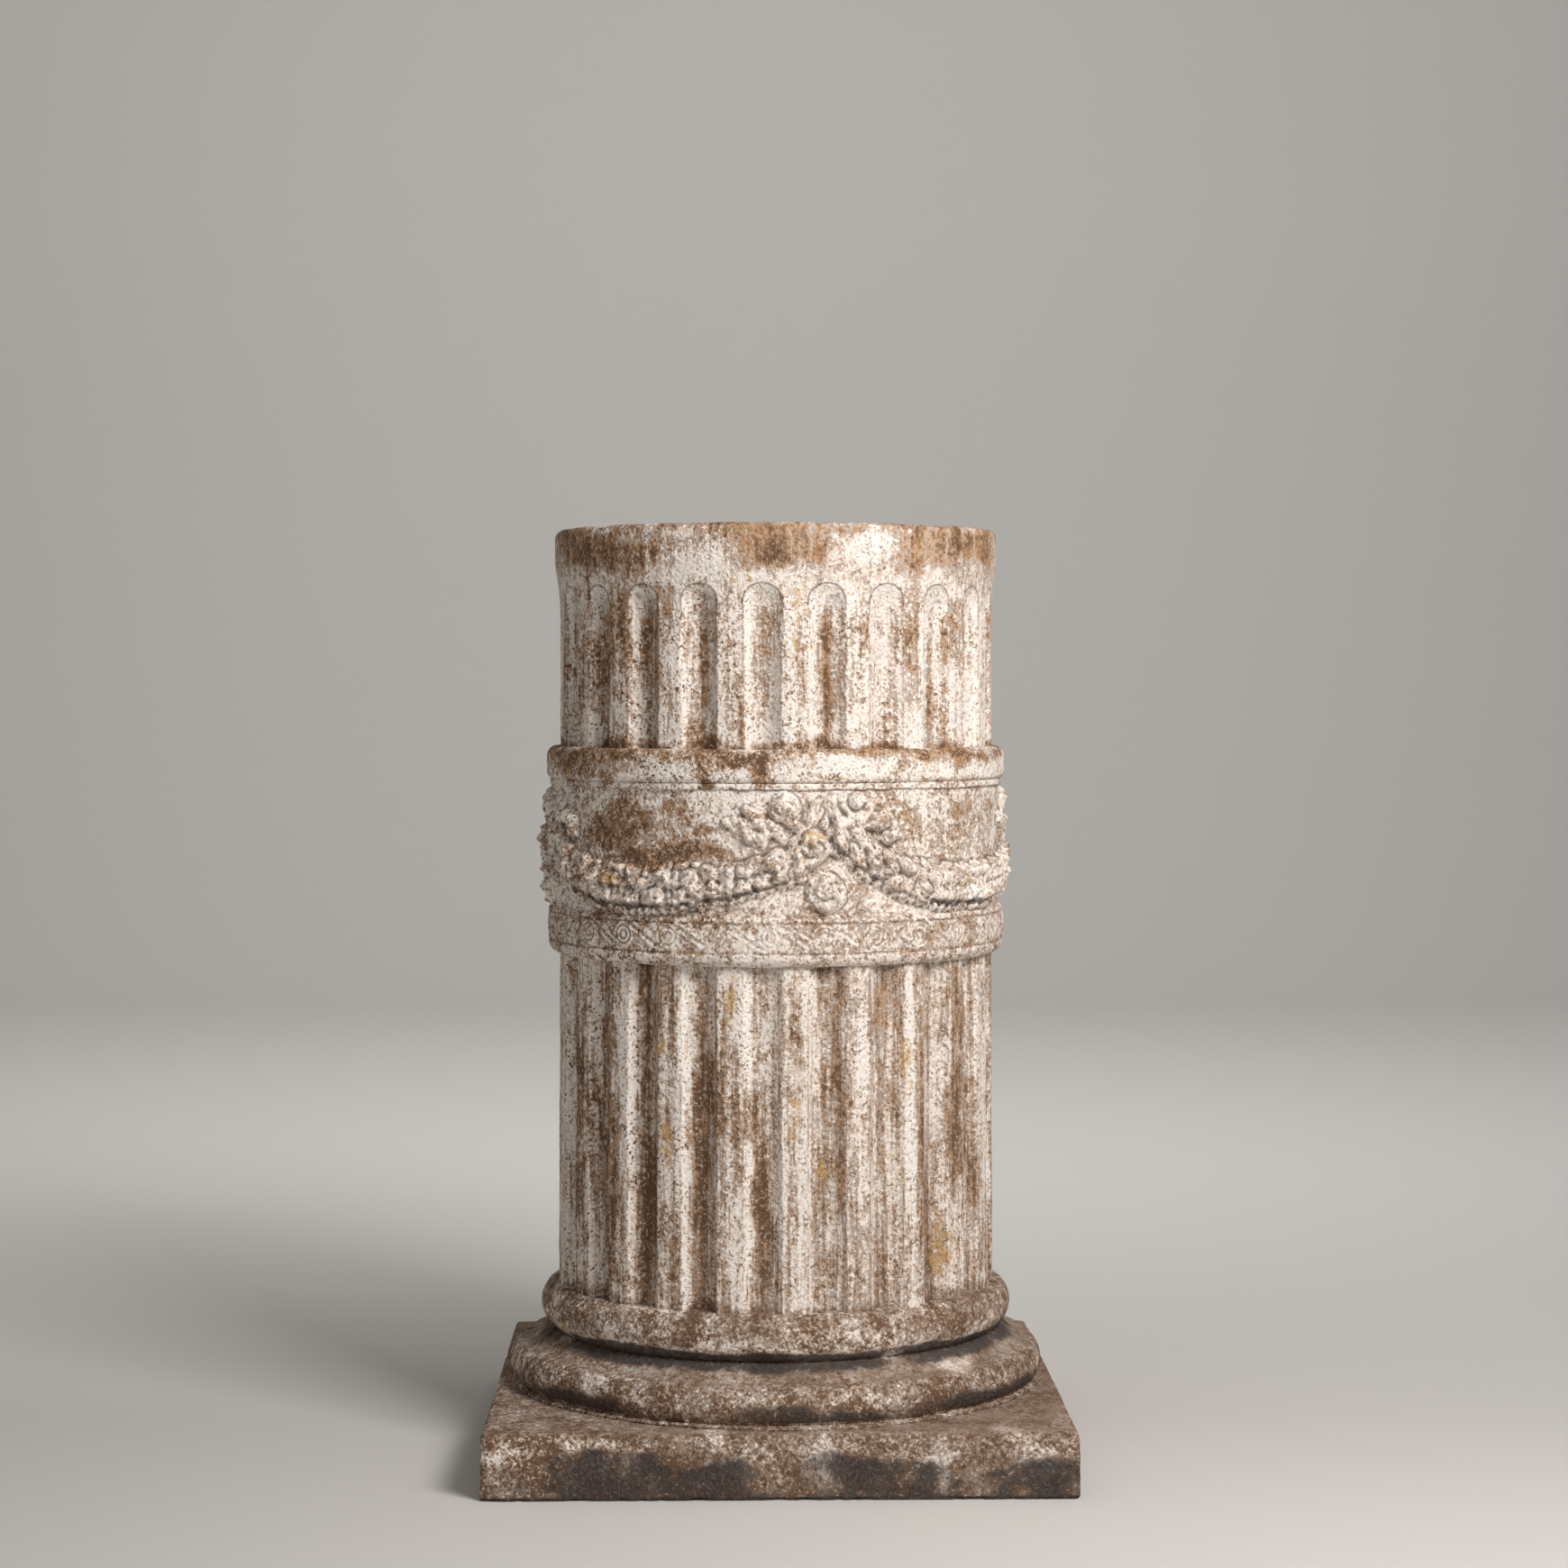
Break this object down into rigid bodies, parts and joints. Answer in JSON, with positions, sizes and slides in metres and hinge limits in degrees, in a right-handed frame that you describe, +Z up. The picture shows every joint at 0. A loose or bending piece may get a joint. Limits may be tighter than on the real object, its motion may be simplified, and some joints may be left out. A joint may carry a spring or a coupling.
{
  "type": "doric column",
  "caption": "Short fluted column pedestal on a square plinth, with a garlanded frieze between two rings and a plain flared rim under a flat top.",
  "frame": {"origin": "centre of the plinth's underside, on the surface that the column stands on", "axes": "+Z up the column's axis; +X and +Y square to the plinth's sides; the front, with a garland knot near its middle, faces -Y"},
  "size_m": [0.5, 0.5, 0.816],
  "materials": {
    "limewashed_clay": "rough fired clay under a worn limewash"
  },
  "bodies": {
    "root": {"column": "limewashed_clay"}
  },
  "joints": []
}
